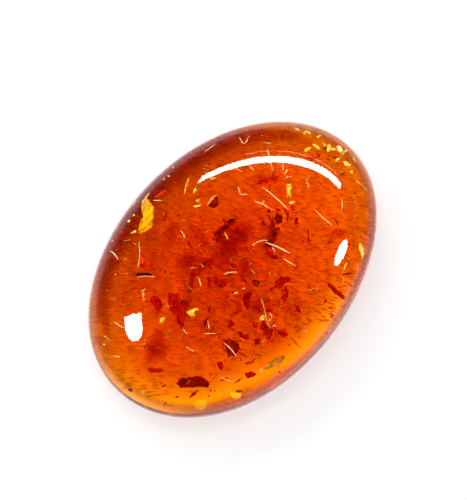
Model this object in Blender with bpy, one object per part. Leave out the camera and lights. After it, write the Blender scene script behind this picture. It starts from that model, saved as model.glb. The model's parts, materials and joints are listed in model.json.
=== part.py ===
"""An oval amber cabochon, flat below and domed above, with bits of ancient plants sealed inside it.

The stone lies on its flat face. Its long axis is X, and the origin is the middle of the flat face.
The clear stone is parted in two along a level plane, so that each scrap lies in a pocket that opens there.
"""
import math

import bmesh
import bpy
import numpy as np
from mathutils import Vector

MM = 0.001

# Driving dimensions of the stone, in millimetres
LENGTH = 40.0
WIDTH = 28.2
HEIGHT = 9.5
GIRDLE_HEIGHT = 2.3
PARTING_HEIGHT = 4.6
GAP = 0.3
POCKET_CLEARANCE = 0.35

# The section: the flat's share of the width, and how square the shoulder and how round the crown are
FLAT_SHARE = 0.95
SHOULDER_POWER = 2.4
CROWN_POWER = 2.2

# The hand-cut outline: small swellings, as (size as a share of the radius, swells round the oval, turn in degrees)
SWELLS = ((0.0063, 3, 23.0), (0.0036, 4, 127.0))

# How finely the stone is cut into flats
SIDES = 72
EDGE_RINGS = 5
WALL_RINGS = 3
DOME_RINGS = 11

# The scraps are placed as seen by someone who faces the stone from this turn about Z, in degrees:
# right of that person, away from that person, and up, in millimetres
VIEW_TURN = -49.7
RIM_SHARE = 0.82
ROD_RINGS = 7
ROD_SIDES = 8

# Flat scraps: name, colour, place, thickness, lean (rise to the right, rise away) and outline about the place
FLAT_SCRAPS = (
    ("leaf_scrap_large", "dark_red", (-4.6, -13.4, 2.6), 0.30, (0.06, 0.30),
     ((-1.75, -0.10), (-1.50, 0.35), (-0.45, 0.45), (0.70, 0.50), (1.25, 0.35),
      (1.75, -0.20), (1.65, -0.50), (-0.45, -0.50), (-1.40, -0.50))),
    ("leaf_scrap_left", "light_red", (-9.7, -0.5, 5.4), 0.20, (0.10, 0.18),
     ((-0.70, 1.15), (0.95, -1.15), (-0.15, -0.80), (-0.95, -0.70))),
    ("leaf_scrap_long", "dark_red", (-6.4, -6.3, 5.8), 0.30, (0.25, 0.10),
     ((-0.95, 1.95), (-0.10, 1.95), (0.20, 1.90), (0.45, 0.90), (1.00, 0.20), (1.00, -0.75),
      (0.65, -1.95), (0.00, -1.30), (-0.10, -0.40), (-0.85, -0.05), (-1.00, 1.15))),
    ("leaf_fan", "dark_red", (5.2, -3.0, 5.4), 0.25, (0.20, -0.15),
     ((-0.05, 0.80), (0.95, 0.80), (1.25, 0.45), (0.85, 0.10), (0.30, -0.05), (0.15, -0.50),
      (-0.40, -0.45), (-1.25, -0.80), (-0.75, 0.05))),
    ("leaf_fan_dark", "dark_red", (1.4, -4.6, 3.0), 0.25, (0.30, 0.20),
     ((-0.60, 0.75), (-0.05, 0.95), (0.60, 0.85), (0.25, 0.00), (0.00, -0.95), (-0.40, -0.55), (-0.50, 0.10))),
    ("leaf_crescent", "dark_red", (4.3, 0.6, 5.0), 0.25, (-0.15, 0.10),
     ((-0.85, 0.75), (-0.60, 0.30), (-0.15, -0.10), (0.55, -0.40), (0.85, -0.70), (0.00, -0.75), (-0.55, -0.35))),
    ("leaf_scrap_soft", "light_red", (5.5, -4.0, 3.4), 0.25, (0.15, 0.10),
     ((-0.30, 0.75), (0.30, 0.80), (0.35, 0.25), (0.10, -0.75), (-0.30, -0.80), (-0.35, 0.00))),
    ("leaf_plume", "dark_red", (3.6, -8.5, 5.6), 0.25, (-0.20, 0.15),
     ((-0.65, 1.10), (-0.30, 1.15), (0.05, 0.45), (0.70, 0.25), (0.45, -0.45), (0.20, -1.15),
      (-0.25, -0.25), (-0.70, 0.25))),
    ("leaf_star", "dark_red", (5.3, -8.6, 4.8), 0.25, (0.20, -0.20),
     ((-0.60, 0.35), (0.15, 0.55), (0.60, -0.10), (0.00, -0.55), (-0.35, 0.05))),
    ("leaf_scrap_rim", "light_red", (9.1, 11.8, 6.3), 0.20, (0.10, 0.10),
     ((-0.70, 0.00), (0.00, 0.45), (0.70, 0.25), (0.45, -0.30), (-0.40, -0.45))),
    ("leaf_scrap_orange", "light_red", (-8.3, 7.6, 5.9), 0.20, (0.20, 0.10),
     ((-0.70, -0.45), (-0.20, 0.10), (0.30, 0.45), (0.70, 0.10), (0.10, -0.45))),
    ("bark_chip_top", "dark_red", (-2.3, 6.2, 6.6), 0.30, (0.20, -0.10),
     ((0.50, 0.80), (0.60, -0.35), (0.05, -0.80), (-0.60, -0.40))),
    ("bark_chip_high", "dark_red", (5.1, 4.3, 7.0), 0.30, (0.30, 0.10),
     ((-0.15, 0.70), (0.50, 0.30), (0.40, -0.50), (-0.15, -0.70), (-0.50, -0.10))),
    ("bark_chip_low", "dark_red", (4.3, 3.9, 5.6), 0.30, (-0.20, 0.10),
     ((0.10, 0.65), (0.45, -0.20), (-0.05, -0.65), (-0.45, -0.55))),
    ("bark_chip_thin", "dark_red", (6.1, 4.6, 6.2), 0.25, (0.30, -0.10),
     ((0.10, 0.70), (0.20, -0.05), (0.00, -0.70), (-0.20, 0.20))),
    ("bark_chip_square", "dark_red", (7.0, 4.4, 5.0), 0.25, (0.20, 0.20),
     ((-0.20, 0.35), (0.20, 0.40), (0.20, -0.40), (-0.15, -0.40))),
    ("bark_bead", "dark_red", (4.0, 5.3, 6.4), 0.30, (0.10, 0.10),
     ((-0.30, 0.15), (0.05, 0.30), (0.30, 0.00), (0.10, -0.30), (-0.25, -0.20))),
    ("bark_bead_dark", "near_black", (2.5, -3.3, 6.8), 0.40, (-0.10, 0.20),
     ((-0.45, 0.25), (-0.10, 0.40), (0.30, 0.25), (0.45, 0.15), (0.00, -0.40), (-0.40, -0.30))),
    ("bark_lobe_left", "dark_red", (-2.8, -3.1, 6.0), 0.30, (0.10, 0.15),
     ((-0.25, 0.60), (0.15, 0.65), (0.25, -0.60), (-0.10, -0.65))),
    ("bark_lobe_right", "dark_red", (-1.5, -3.2, 6.4), 0.30, (-0.15, 0.10),
     ((-0.80, 0.65), (-0.10, 0.55), (0.40, 0.35), (0.80, 0.05), (0.60, -0.45), (0.10, -0.65), (-0.60, -0.40))),
    ("bark_flake_folded", "dark_red", (2.4, -5.5, 6.0), 0.25, (0.30, -0.10),
     ((0.40, 0.60), (0.40, -0.25), (-0.15, -0.60), (-0.40, -0.35))),
    ("bark_bar", "dark_red", (3.8, -6.1, 5.4), 0.25, (0.10, 0.10),
     ((-0.35, 0.15), (0.35, 0.15), (0.35, -0.15), (-0.25, -0.15))),
    ("bark_cluster_left", "dark_red", (-8.7, -5.2, 4.4), 0.30, (0.20, 0.20),
     ((-0.65, 0.70), (-0.20, 0.90), (0.20, 0.70), (0.65, 0.30), (0.55, -0.55), (0.10, -0.90), (-0.35, -0.30))),
    ("bark_cluster_near", "dark_red", (1.0, -8.9, 4.8), 0.30, (-0.10, 0.20),
     ((-0.50, 0.45), (-0.10, 0.25), (0.50, 0.05), (0.50, -0.45), (0.00, -0.30), (-0.50, -0.15))),
    ("bark_cluster_right", "dark_red", (2.4, -9.4, 4.8), 0.25, (0.20, 0.10),
     ((-0.35, 0.20), (0.35, 0.40), (0.35, -0.35), (-0.20, -0.40))),
    ("bark_diamond_mid", "dark_red", (-0.5, -7.7, 5.2), 0.25, (0.10, 0.20),
     ((0.00, 0.55), (0.40, -0.05), (-0.15, -0.55), (-0.40, -0.15))),
    ("bark_diamond_high", "dark_red", (2.2, -7.9, 6.2), 0.25, (0.20, 0.10),
     ((-0.05, 0.55), (0.30, 0.15), (0.25, -0.55), (-0.30, 0.05))),
    ("bark_diamond_low", "near_black", (-3.2, -7.3, 4.4), 0.25, (0.20, 0.30),
     ((-0.35, -0.35), (0.25, 0.50), (0.35, 0.10), (-0.05, -0.50))),
    ("bark_blob", "dark_red", (-1.7, -12.2, 4.6), 0.30, (0.10, 0.20),
     ((-0.35, 0.40), (0.20, 0.45), (0.35, 0.00), (0.25, -0.45), (-0.05, -0.40), (-0.30, -0.05))),
    ("bark_lozenge", "dark_red", (1.7, -12.8, 3.8), 0.25, (-0.10, 0.25),
     ((-0.75, 0.10), (-0.10, 0.35), (0.75, 0.05), (-0.05, -0.30), (-0.55, -0.35))),
    ("bark_splinter", "dark_red", (1.7, -11.6, 4.4), 0.25, (0.20, 0.10),
     ((-0.60, -0.25), (0.60, 0.30), (0.40, 0.00), (-0.25, -0.30))),
    ("splinter_right", "dark_red", (12.1, 4.3, 5.8), 0.25, (-0.20, 0.10),
     ((-0.75, 0.30), (-0.05, 0.15), (0.75, -0.30), (-0.15, -0.15))),
    ("splinter_upright", "dark_red", (8.3, 2.6, 4.6), 0.25, (0.10, 0.20),
     ((-0.10, 0.75), (0.10, 0.70), (0.10, -0.75), (-0.10, -0.55))),
    ("debris_clump", "near_black", (-0.3, -10.4, 5.6), 0.40, (0.10, 0.15),
     ((-0.80, 0.90), (-0.10, 0.80), (0.70, 0.45), (0.80, 0.00), (0.40, -0.90), (-0.45, -0.90), (-0.60, -0.15))),
    ("gold_leaf", "gold", (-9.8, 5.2, 5.0), 0.20, (0.15, 0.06),
     ((-0.30, 2.35), (0.65, 0.95), (0.85, 0.75), (0.85, -0.65), (0.65, -1.70), (-0.05, -2.20),
      (-0.85, -2.35), (-0.75, -1.20), (-0.30, -0.40), (-0.60, 0.65), (-0.65, 1.70))),
    ("gold_spear", "gold", (-5.4, 8.3, 6.6), 0.20, (0.20, 0.10),
     ((0.30, 1.15), (0.20, 0.00), (-0.30, -1.15), (-0.05, 0.25))),
    ("gold_chip_left", "gold", (-4.4, 7.6, 7.3), 0.20, (0.20, 0.10),
     ((0.25, 0.50), (0.20, 0.00), (-0.25, -0.50), (-0.10, 0.15))),
    ("gold_chip_tall", "gold", (6.4, 7.5, 7.7), 0.20, (0.10, 0.20),
     ((-0.35, 0.85), (0.25, 0.75), (0.20, -0.25), (0.35, -0.85), (-0.30, -0.80))),
    ("gold_chip_low", "gold", (-8.1, -7.7, 7.4), 0.20, (0.20, 0.10),
     ((-0.40, -0.25), (-0.20, 0.25), (0.40, 0.35), (0.35, 0.05), (-0.05, -0.35))),
    ("gold_fork", "gold", (-4.7, -6.9, 7.8), 0.20, (0.10, 0.20),
     ((-0.70, 0.10), (-0.10, 0.35), (0.50, 0.60), (0.70, 0.35), (0.15, 0.05), (0.25, -0.45), (-0.15, -0.60))),
    ("gold_rim_round", "gold", (-3.9, -15.5, 2.0), 0.20, (0.10, 0.20),
     ((-0.75, 0.10), (-0.20, 0.45), (0.55, 0.45), (0.75, -0.05), (0.20, -0.45), (-0.50, -0.35))),
    ("gold_rim_green", "gold", (-0.2, -14.6, 2.5), 0.20, (-0.20, 0.10),
     ((-0.70, 0.05), (-0.10, 0.40), (0.70, 0.10), (0.50, -0.30), (-0.10, -0.40))),
)

# Round scraps: name, colour, place, length, width, turn in degrees from the viewer's right, and how blunt the ends are
ROUND_SCRAPS = (
    ("seed_capsule", "husk_brown", (4.4, -11.8, 4.6), 2.8, 0.85, 31.0, 1.7),
    ("husk_seed", "near_black", (-10.0, -1.9, 4.2), 1.9, 0.45, -4.0, 1.5),
    ("twig", "dark_red", (11.1, -3.0, 3.0), 2.6, 0.50, -39.0, 6.0),
)

# Colour, roughness and share of light let through
FINISHES = {
    "amber": ((0.86, 0.20, 0.015), 0.05, 0.9),
    "dark_red": ((0.16, 0.008, 0.005), 0.45, 0.0),
    "light_red": ((0.48, 0.035, 0.012), 0.40, 0.0),
    "near_black": ((0.035, 0.006, 0.004), 0.50, 0.0),
    "gold": ((0.86, 0.50, 0.05), 0.30, 0.0),
    "husk_brown": ((0.40, 0.26, 0.10), 0.50, 0.0),
}


def clear_scene():
    """Removes what the file holds before the model is made."""
    for item in list(bpy.data.objects):
        bpy.data.objects.remove(item, do_unlink=True)


def finish_of(name):
    """The material of this name, made on its first use."""
    if name in bpy.data.materials:
        return bpy.data.materials[name]
    colour, roughness, clear = FINISHES[name]
    material = bpy.data.materials.new(name)
    material.use_nodes = True
    shader = material.node_tree.nodes["Principled BSDF"]
    shader.inputs["Base Color"].default_value = (*colour, 1.0)
    shader.inputs["Roughness"].default_value = roughness
    shader.inputs["Metallic"].default_value = 0.0
    shader.inputs["Transmission Weight"].default_value = clear
    return material


def add_object(name, mesh, finish):
    """Links a mesh to the scene as one named piece."""
    mesh.materials.append(finish_of(finish))
    piece = bpy.data.objects.new(name, mesh)
    bpy.context.scene.collection.objects.link(piece)
    return piece


def stone_outline():
    """The oval seen from above: an ellipse whose radius swells a little, fitted to LENGTH by WIDTH.

    Returns the outline's points and the point that the rings of the dome shrink towards."""
    turn = np.linspace(0.0, 2.0 * math.pi, SIDES, endpoint=False)
    swell = 1.0 + sum(size * np.cos(count * turn + math.radians(start)) for size, count, start in SWELLS)
    oval = np.stack([LENGTH / 2 * swell * np.cos(turn), WIDTH / 2 * swell * np.sin(turn)], axis=1)
    low = oval.min(axis=0)
    high = oval.max(axis=0)
    stretch = np.array([LENGTH, WIDTH]) / (high - low)
    middle = (low + high) / 2
    return (oval - middle) * stretch, -middle * stretch


def dome_share(height):
    """Share of the outline that the dome still covers at a height: the crown's formula turned round."""
    rise = (height - GIRDLE_HEIGHT) / (HEIGHT - GIRDLE_HEIGHT)
    return (1.0 - rise ** CROWN_POWER) ** (1.0 / SHOULDER_POWER)


def dome_height(share):
    """Height of the dome over a share of the outline: square at the shoulder and round at the crown."""
    rise = (1.0 - share ** SHOULDER_POWER) ** (1.0 / CROWN_POWER)
    return GIRDLE_HEIGHT + (HEIGHT - GIRDLE_HEIGHT) * rise


def stacked_rings(rings, top_height=None):
    """A closed mesh of rings, given as (share of the outline, height), with a flat floor.

    With a top height the last ring closes to a point there, and otherwise it closes with a flat lid."""
    outline, middle = stone_outline()
    shape = bmesh.new()
    loops = []
    for share, height in rings:
        points = middle + share * (outline - middle)
        loops.append([shape.verts.new(Vector((x, y, height)) * MM) for x, y in points])
    shape.faces.new(reversed(loops[0]))
    for lower, upper in zip(loops, loops[1:]):
        for i in range(SIDES):
            j = (i + 1) % SIDES
            shape.faces.new((lower[i], lower[j], upper[j], upper[i]))
    if top_height is None:
        shape.faces.new(loops[-1])
    else:
        crown = shape.verts.new(Vector((middle[0], middle[1], top_height)) * MM)
        for i in range(SIDES):
            shape.faces.new((loops[-1][i], loops[-1][(i + 1) % SIDES], crown))
    mesh = bpy.data.meshes.new("amber")
    shape.to_mesh(mesh)
    shape.free()
    return mesh


def add_lower_half():
    """The stone below the parting: flat face, rounded lower edge, girdle and the foot of the dome."""
    rings = []
    for i in range(EDGE_RINGS + 1):
        turn = math.pi / 2 * i / EDGE_RINGS
        share = FLAT_SHARE + (1.0 - FLAT_SHARE) * math.sin(turn)
        rings.append((share, GIRDLE_HEIGHT * (1.0 - math.cos(turn))))
    lid = PARTING_HEIGHT - GAP / 2
    for i in range(1, WALL_RINGS + 1):
        height = GIRDLE_HEIGHT + (lid - GIRDLE_HEIGHT) * i / WALL_RINGS
        rings.append((dome_share(height), height))
    return add_object("amber_lower_half", stacked_rings(rings), "amber")


def add_upper_half():
    """The stone above the parting: the dome, in rings that stand closer where it turns over its shoulder."""
    widest = dome_share(PARTING_HEIGHT + GAP / 2)
    rings = []
    for i in range(DOME_RINGS):
        share = widest * math.cos(math.pi / 2 * i / DOME_RINGS)
        rings.append((share, dome_height(share)))
    return add_object("amber_upper_half", stacked_rings(rings, HEIGHT), "amber")


def to_stone(points):
    """Turns the viewer's right, away and up into the stone's X, Y and Z."""
    turn = math.radians(VIEW_TURN)
    points = np.asarray(points, dtype=float)
    right, away = points[:, 0], points[:, 1]
    x = right * math.cos(turn) - away * math.sin(turn)
    y = right * math.sin(turn) + away * math.cos(turn)
    return np.stack([x, y, points[:, 2]], axis=1)


def counter_clockwise(outline):
    """The outline's points, in order against the clock."""
    outline = np.asarray(outline, dtype=float)
    ahead = np.roll(outline, -1, axis=0)
    twice_area = np.sum(outline[:, 0] * ahead[:, 1] - ahead[:, 0] * outline[:, 1])
    return outline if twice_area > 0 else outline[::-1]


def closed_stack(levels):
    """A closed mesh through equal loops of points, from the lowest to the highest."""
    shape = bmesh.new()
    loops = [[shape.verts.new(Vector(point) * MM) for point in level] for level in levels]
    count = len(loops[0])
    shape.faces.new(reversed(loops[0]))
    for lower, upper in zip(loops, loops[1:]):
        for i in range(count):
            j = (i + 1) % count
            shape.faces.new((lower[i], lower[j], upper[j], upper[i]))
    shape.faces.new(loops[-1])
    bmesh.ops.recalc_face_normals(shape, faces=shape.faces)
    mesh = bpy.data.meshes.new("scrap")
    shape.to_mesh(mesh)
    shape.free()
    return mesh


def add_flat_scrap(name, finish, place, thickness, lean, outline):
    """A leaning flake with bevelled edges: its outline at mid thickness, and a smaller one above and below."""
    outline = counter_clockwise(outline)
    levels = []
    for share, rise in ((RIM_SHARE, -0.5), (1.0, 0.0), (RIM_SHARE, 0.5)):
        flat = outline * share
        height = flat @ np.array(lean) + rise * thickness
        levels.append(to_stone(np.column_stack([flat, height]) + np.array(place)))
    return add_object(name, closed_stack(levels), finish)


def add_round_scrap(name, finish, place, length, width, turn, bluntness):
    """A seed or twig: rings along its length, whose radius falls to the ends as a power of the distance."""
    along = np.sin(np.linspace(-1.0, 1.0, ROD_RINGS) * math.radians(80.0))
    radius = width / 2 * np.sqrt(1.0 - np.abs(along) ** bluntness)
    around = np.linspace(0.0, 2.0 * math.pi, ROD_SIDES, endpoint=False)
    lie = math.radians(turn)
    levels = []
    for share, size in zip(along, radius):
        across = size * np.cos(around)
        step = length / 2 * share
        ring = np.column_stack([
            step * math.cos(lie) - across * math.sin(lie),
            step * math.sin(lie) + across * math.cos(lie),
            size * np.sin(around)])
        levels.append(to_stone(ring + np.array(place)))
    return add_object(name, closed_stack(levels), finish)


def add_pocket(shape, scrap):
    """Adds to a mesh the upright pocket of one scrap: its widened hull, from the scrap to the parting plane."""
    points = np.array([vertex.co for vertex in scrap.data.vertices]) / MM
    floor = min(points[:, 2].min() - POCKET_CLEARANCE, PARTING_HEIGHT)
    roof = max(points[:, 2].max() + POCKET_CLEARANCE, PARTING_HEIGHT)
    corners = []
    for turn in np.arange(0.0, 2.0 * math.pi, math.pi / 3):
        step = POCKET_CLEARANCE * np.array([math.cos(turn), math.sin(turn)])
        for x, y in points[:, :2] + step:
            corners.append(shape.verts.new(Vector((x, y, floor)) * MM))
            corners.append(shape.verts.new(Vector((x, y, roof)) * MM))
    hull = bmesh.ops.convex_hull(shape, input=corners)
    spare = {item for item in hull["geom_interior"] + hull["geom_unused"] if isinstance(item, bmesh.types.BMVert)}
    bmesh.ops.delete(shape, geom=list(spare), context="VERTS")


def add_pockets(name, scraps):
    """One wire cutter that holds the pockets of these scraps."""
    shape = bmesh.new()
    for scrap in scraps:
        add_pocket(shape, scrap)
    bmesh.ops.dissolve_limit(shape, angle_limit=math.radians(1.0), verts=shape.verts, edges=shape.edges)
    bmesh.ops.recalc_face_normals(shape, faces=shape.faces)
    mesh = bpy.data.meshes.new(name)
    shape.to_mesh(mesh)
    shape.free()
    cutter = bpy.data.objects.new(name, mesh)
    bpy.context.scene.collection.objects.link(cutter)
    cutter.hide_render = True
    cutter.display_type = "WIRE"
    return cutter


def cut(half, cutter):
    """Cuts the pockets out of one half of the stone."""
    step = half.modifiers.new("pockets", "BOOLEAN")
    step.operation = "DIFFERENCE"
    step.solver = "EXACT"
    step.use_self = True
    step.object = cutter


def reach(scrap):
    """The lowest and highest points of a scrap, in millimetres."""
    heights = [vertex.co.z / MM for vertex in scrap.data.vertices]
    return min(heights), max(heights)


def build():
    """Makes the stone's two halves, the scraps, and the pockets that hold them."""
    clear_scene()
    lower = add_lower_half()
    upper = add_upper_half()
    scraps = [add_flat_scrap(*row) for row in FLAT_SCRAPS]
    scraps += [add_round_scrap(*row) for row in ROUND_SCRAPS]
    in_lower = [scrap for scrap in scraps if reach(scrap)[0] - POCKET_CLEARANCE < PARTING_HEIGHT]
    in_upper = [scrap for scrap in scraps if reach(scrap)[1] + POCKET_CLEARANCE > PARTING_HEIGHT]
    cut(lower, add_pockets("lower_pockets", in_lower))
    cut(upper, add_pockets("upper_pockets", in_upper))


build()
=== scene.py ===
"""The looks of an amber cabochon: one clear polished stone over its sealed scraps, on a pale floor.

Lengths named in millimetres are turned into metres by MM. The stone's own box comes from the frame.
"""
import json
import math

import bmesh
import bpy
import numpy as np
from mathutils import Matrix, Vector


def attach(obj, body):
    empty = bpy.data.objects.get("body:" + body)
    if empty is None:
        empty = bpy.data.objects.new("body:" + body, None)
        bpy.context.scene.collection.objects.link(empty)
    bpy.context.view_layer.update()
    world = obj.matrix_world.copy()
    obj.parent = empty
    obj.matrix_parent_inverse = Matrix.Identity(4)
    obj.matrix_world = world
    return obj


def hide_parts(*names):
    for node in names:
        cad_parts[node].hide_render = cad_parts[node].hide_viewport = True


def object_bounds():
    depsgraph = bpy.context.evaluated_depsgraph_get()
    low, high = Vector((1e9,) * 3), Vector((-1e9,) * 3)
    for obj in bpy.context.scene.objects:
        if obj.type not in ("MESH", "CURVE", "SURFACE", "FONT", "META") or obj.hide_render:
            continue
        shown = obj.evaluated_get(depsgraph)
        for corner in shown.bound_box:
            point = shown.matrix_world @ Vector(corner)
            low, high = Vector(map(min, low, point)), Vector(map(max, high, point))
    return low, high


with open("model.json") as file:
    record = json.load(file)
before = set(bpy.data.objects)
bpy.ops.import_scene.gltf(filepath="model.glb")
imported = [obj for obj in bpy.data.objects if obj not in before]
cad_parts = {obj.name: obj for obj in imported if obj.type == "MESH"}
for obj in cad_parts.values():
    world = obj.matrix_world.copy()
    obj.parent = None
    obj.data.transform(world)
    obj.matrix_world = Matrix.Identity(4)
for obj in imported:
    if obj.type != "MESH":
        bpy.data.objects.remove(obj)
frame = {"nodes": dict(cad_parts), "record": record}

MM = 0.001
cad_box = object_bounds()

# The stone, in millimetres: its box from the frame, its section and its hand-cut outline as in the solids
LENGTH, WIDTH, HEIGHT = [(high - low) / MM for low, high in zip(*cad_box)]
GIRDLE_HEIGHT = 2.3
FLAT_SHARE = 0.95
SHOULDER_POWER = 2.4
CROWN_POWER = 2.2
SWELLS = ((0.0063, 3, 23.0), (0.0036, 4, 127.0))
STONE_SIDES = 320
EDGE_RINGS = 28
DOME_RINGS = 96
FLAT_RINGS = 14

# The camera: it faces the stone from this turn about Z and this height, in degrees
VIEW_TURN = -49.7
VIEW_HEIGHT = 75.0
VIEW_DISTANCE = 296.0
AIM_HEIGHT = 3.0
PHOTO_WIDTH, PHOTO_HEIGHT = 467, 500
AIM_ACROSS, AIM_DOWN = 233.9, 265.2
MM_PER_PIXEL = 0.11695
SENSOR = 36.0

AMBER_IOR = 1.54
AMBER_COLOUR, AMBER_DENSITY = (0.991, 0.86, 0.0), 1000.0
WHITE = (1.0, 1.0, 1.0, 1.0)
BLACK = (0.0, 0.0, 0.0, 1.0)
# The skin of clear resin over what is sealed, in millimetres, the share of the outline that nothing sealed
# passes, and how far things are lifted over the rounded lower edge, past a share
SKIN, WALL_SHARE = 0.16, 0.985
EDGE_SHARE, EDGE_LIFT = 0.94, 1.2

# The floor: its half width and height in millimetres, its shade, and the part of the shade that it keeps
# where it is seen directly, with how far it is overexposed there
FLOOR_REACH, FLOOR_HEIGHT = 700.0, -0.02
FLOOR_SHADE, DIRECT_SHARE, BURNT_OUT = 0.88, 0.5, 0.575
# Painted reflection: how bright the floor glows where the polish mirrors it, from this near to this far from
# the middle, in millimetres
MIRROR_NEAR, MIRROR_FAR = 18.0, 60.0
MIRROR_LEVELS = ((0.0, 1.2), (0.05, 0.9), (0.12, 0.75), (0.3, 0.7), (0.42, 0.6), (0.52, 0.16), (1.0, 0.04))
# A pool of light painted on the floor as a glow, for the light gathered under the near side: its shares of
# the outline, its levels over them, its direction, how far it drifts inwards to the left, how squarely a spot
# has to lie in its direction, and its strength
FOCUS_SHARES = (0.58, 0.80)
FOCUS_LEVELS = ((0.0, 0.0), (0.25, 0.15), (0.5, 0.5), (0.68, 1.0), (0.78, 0.7), (0.88, 0.1), (1.0, 0.0))
FOCUS_TURN = -75.0
FOCUS_DRIFT = 0.2
FOCUS_SPREAD = (0.2, 0.6)
FOCUS_GLOW = 0.52
# Painted light: the even lift of the floor just outside the stone, seen through it: where it starts and how
# strong it is
LIFT_SHARES, LIFT_GLOW = (0.93, 1.0), 0.4
# The painted glow of gold flakes, for that gathered light
GATHERED_GLOW = 0.6
# How much of a panel's glow shows where it is seen straight through the stone, how much each mirroring
# gives back, how far off the panels stand in metres, and the glow of the room
SEEN_THROUGH, FLASH_SHARE = 0.25, 0.4
PANEL_DISTANCE = 0.6
ROOM_GLOW = 0.33


def view_axes():
    """The camera's own directions: back towards it, to its right, up its picture, and away along the
    floor."""
    turn, height = math.radians(VIEW_TURN), math.radians(VIEW_HEIGHT)
    right = np.array([math.cos(turn), math.sin(turn), 0.0])
    away = np.array([-math.sin(turn), math.cos(turn), 0.0])
    back = -away * math.cos(height) + np.array([0.0, 0.0, math.sin(height)])
    return back, right, np.cross(back, right), away


BACK, RIGHT, UP, AWAY = view_axes()
EYE = np.array([0.0, 0.0, AIM_HEIGHT]) + BACK * VIEW_DISTANCE
FOCAL_PIXELS = VIEW_DISTANCE / MM_PER_PIXEL


def towards(turn, height):
    """The direction of a turn (from the camera's right, against the clock) and a height, both in
    degrees."""
    turn, height = math.radians(turn), math.radians(height)
    level = RIGHT * math.cos(turn) + AWAY * math.sin(turn)
    return level * math.cos(height) + np.array([0.0, 0.0, math.sin(height)])


def swell(turn):
    """How far the outline swells past a true ellipse at a turn round it: one plus small waves."""
    return 1.0 + sum(size * np.cos(count * turn + math.radians(start)) for size, count, start in SWELLS)


def outline_frame():
    """The half axes and the middle that fit the swelling oval into LENGTH by WIDTH."""
    turn = np.linspace(0.0, 2.0 * math.pi, STONE_SIDES, endpoint=False)
    size = np.array([LENGTH, WIDTH])
    oval = size / 2 * swell(turn)[:, None] * np.stack([np.cos(turn), np.sin(turn)], axis=1)
    low, high = oval.min(axis=0), oval.max(axis=0)
    stretch = size / (high - low)
    return size / 2 * stretch, -(low + high) / 2 * stretch


HALF_AXES, MIDDLE = outline_frame()


def outline_share(x, y):
    """Which share of the outline a point of the plan lies on: 0 in the middle and 1 on the girdle."""
    across, along = (x - MIDDLE[0]) / HALF_AXES[0], (y - MIDDLE[1]) / HALF_AXES[1]
    return np.hypot(across, along) / swell(np.arctan2(along, across))


def on_outline(share, turn):
    """The plan's x and y at a share of the outline and a turn round it."""
    return [MIDDLE[axis] + share * HALF_AXES[axis] * swell(turn) * wave(turn)
            for axis, wave in enumerate((np.cos, np.sin))]


def dome_height(share):
    """Height of the dome over a share of the outline: square at the shoulder and round at the crown."""
    rise = np.clip(1.0 - np.clip(share, 0.0, 1.0) ** SHOULDER_POWER, 0.0, 1.0) ** (1.0 / CROWN_POWER)
    return GIRDLE_HEIGHT + (HEIGHT - GIRDLE_HEIGHT) * rise


def dome_gap(points):
    """How far points lie above the dome, in millimetres; outside the outline they count as above it."""
    share = outline_share(points[:, 0], points[:, 1])
    return np.where(share < 1.0, points[:, 2] - dome_height(share), 1.0)


def dome_normal(points):
    """The dome's outward direction over points of the plan, from its slope between near neighbours."""
    step = 0.001
    x, y = points[:, 0], points[:, 1]
    rise_x = (dome_height(outline_share(x + step, y)) - dome_height(outline_share(x - step, y))) / (2 * step)
    rise_y = (dome_height(outline_share(x, y + step)) - dome_height(outline_share(x, y - step))) / (2 * step)
    normal = np.stack([-rise_x, -rise_y, np.ones_like(x)], axis=1)
    return normal / np.linalg.norm(normal, axis=1, keepdims=True)


def sight(pixels, heights=None, depths=None):
    """Where the things seen at these pixels lie in the stone, at these heights or depths under the dome.

    The sight line is marched down to the dome and halved to meet it, bends there by Snell's law, and runs on
    to the height."""
    pixels = np.atleast_2d(np.asarray(pixels, dtype=float))
    line = (-BACK + RIGHT * ((pixels[:, :1] - AIM_ACROSS) / FOCAL_PIXELS)
            - UP * ((pixels[:, 1:] - AIM_DOWN) / FOCAL_PIXELS))
    line /= np.linalg.norm(line, axis=1, keepdims=True)
    reach = (HEIGHT - EYE[2]) / line[:, 2]
    marks = reach[:, None] + np.linspace(0.0, HEIGHT * 1.2, 240)[None, :]
    spots = EYE + marks[:, :, None] * line[:, None, :]
    outside = dome_gap(spots.reshape(-1, 3)).reshape(marks.shape) > 0
    first = np.argmin(outside, axis=1)
    rows = np.arange(len(pixels))
    near, far = marks[rows, np.maximum(first - 1, 0)], marks[rows, first]
    for _ in range(24):
        half = (near + far) / 2
        above = dome_gap(EYE + half[:, None] * line) > 0
        near, far = np.where(above, half, near), np.where(above, far, half)
    entry = EYE + far[:, None] * line
    normal = dome_normal(entry)
    facing = -np.sum(line * normal, axis=1, keepdims=True)
    ratio = 1.0 / AMBER_IOR
    bent = ratio * line + (ratio * facing - np.sqrt(1.0 - ratio ** 2 * (1.0 - facing ** 2))) * normal
    if heights is None:
        heights = entry[:, 2] - np.asarray(depths, dtype=float)
    return entry + bent * ((np.asarray(heights, dtype=float) - entry[:, 2]) / bent[:, 2])[:, None]


def add_mesh(name, points, faces, material, smooth=True):
    """Puts points (in millimetres) and faces into one mesh object at the origin."""
    mesh = bpy.data.meshes.new(name)
    mesh.from_pydata((np.asarray(points) * MM).tolist(), [], faces)
    mesh.polygons.foreach_set("use_smooth", np.full(len(mesh.polygons), smooth))
    mesh.materials.append(material)
    mesh.update()
    piece = bpy.data.objects.new(name, mesh)
    bpy.context.scene.collection.objects.link(piece)
    return piece


def set_inputs(node, values):
    """Gives a node's inputs, named or numbered, their values."""
    for place, value in values.items():
        node.inputs[place].default_value = value


def add_node(tree, kind, operation=None, values=None):
    """A new node of a kind, with its operation and its inputs' values."""
    node = tree.nodes.new("ShaderNode" + kind)
    if operation:
        node.operation = operation
    set_inputs(node, values or {})
    return node


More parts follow.
